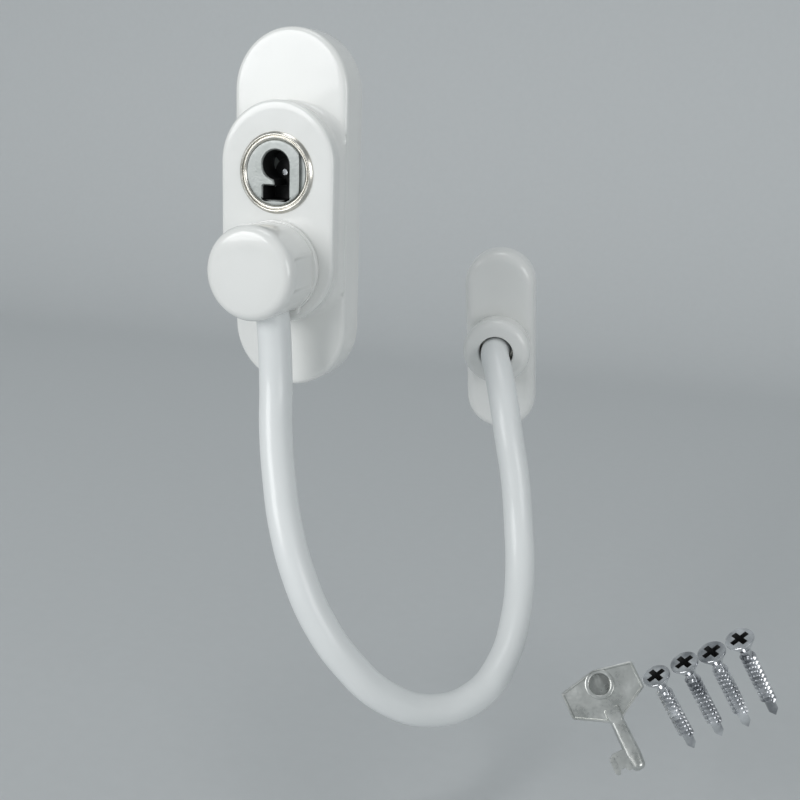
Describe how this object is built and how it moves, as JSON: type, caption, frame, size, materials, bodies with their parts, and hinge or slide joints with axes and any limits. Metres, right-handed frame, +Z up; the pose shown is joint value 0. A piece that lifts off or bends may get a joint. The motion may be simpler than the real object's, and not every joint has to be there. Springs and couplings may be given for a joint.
{
  "type": "window restrictor cable",
  "caption": "Lockable window restrictor: a long oval lock unit with key cylinder and pull-out knob, joined by a sheathed steel cable to a small oval anchor plate.",
  "frame": {"origin": "centre of the lock unit's back face, midway between its two mounting screws", "axes": "+X right, +Y out of the lock unit's back into the window frame it is screwed to, +Z up along the lock unit"},
  "size_m": [0.1212, 0.0955, 0.1493],
  "materials": {
    "white_cover": "smooth glossy white moulding",
    "white_sheath": "smooth satin white plastic sheath",
    "nickel": "bright nickel plating",
    "cast_zinc": "fine grained die-cast zinc",
    "plated_steel": "zinc-plated steel",
    "spring_steel": "drawn spring steel",
    "wire_rope": "stranded galvanised wire rope"
  },
  "bodies": {
    "lock": {"base_plate": "plated_steel", "cover_plate": "white_cover", "housing": "white_cover", "lock_case": "cast_zinc", "case_screws": "plated_steel", "cylinder_sleeve": "nickel", "bolt_spring": "spring_steel", "key": "cast_zinc", "mounting_screws": "plated_steel"},
    "plug": {"plug": "cast_zinc", "centre_post": "plated_steel", "cam": "plated_steel", "plug_clip": "spring_steel"},
    "bolt": {"locking_bolt": "plated_steel"},
    "stud": {"stud": "nickel", "stud_clip": "spring_steel"},
    "knob": {"knob_base": "white_cover", "knob_shell": "white_cover", "knob_screws": "plated_steel", "cable_eye": "nickel", "cable_core": "wire_rope", "cable_sheath": "white_sheath", "end_ferrule": "nickel"},
    "anchor": {"anchor_base": "plated_steel", "anchor_socket": "nickel", "anchor_clip": "spring_steel", "anchor_cover": "white_cover"}
  },
  "joints": [
    {"name": "key_turn", "type": "hinge", "parent": "lock", "child": "plug", "pos_m": [0, -0.0143, 0.0082], "axis": [0, 1, 0], "range_deg": [0, 90]},
    {"name": "bolt_throw", "type": "slide", "parent": "lock", "child": "bolt", "axis": [0, 0, -1], "range_m": [0, 0.00283], "deforming": ["bolt_spring"]},
    {"name": "knob_pull", "type": "slide", "parent": "lock", "child": "stud", "axis": [0, -1, 0], "range_m": [0, 0.02]},
    {"name": "knob_swivel", "type": "hinge", "parent": "stud", "child": "knob", "pos_m": [0, -0.0185, -0.0112], "axis": [0, -1, 0], "continuous": true},
    {"name": "anchor_swivel", "type": "hinge", "parent": "knob", "child": "anchor", "pos_m": [0.0305, 0.0565, -0.0345], "axis": [0.1371, -0.9752, -0.1736], "continuous": true}
  ],
  "couplings": [
    {"joint": "key_turn", "follows": "bolt_throw", "rad_per_m": 555.05}
  ]
}
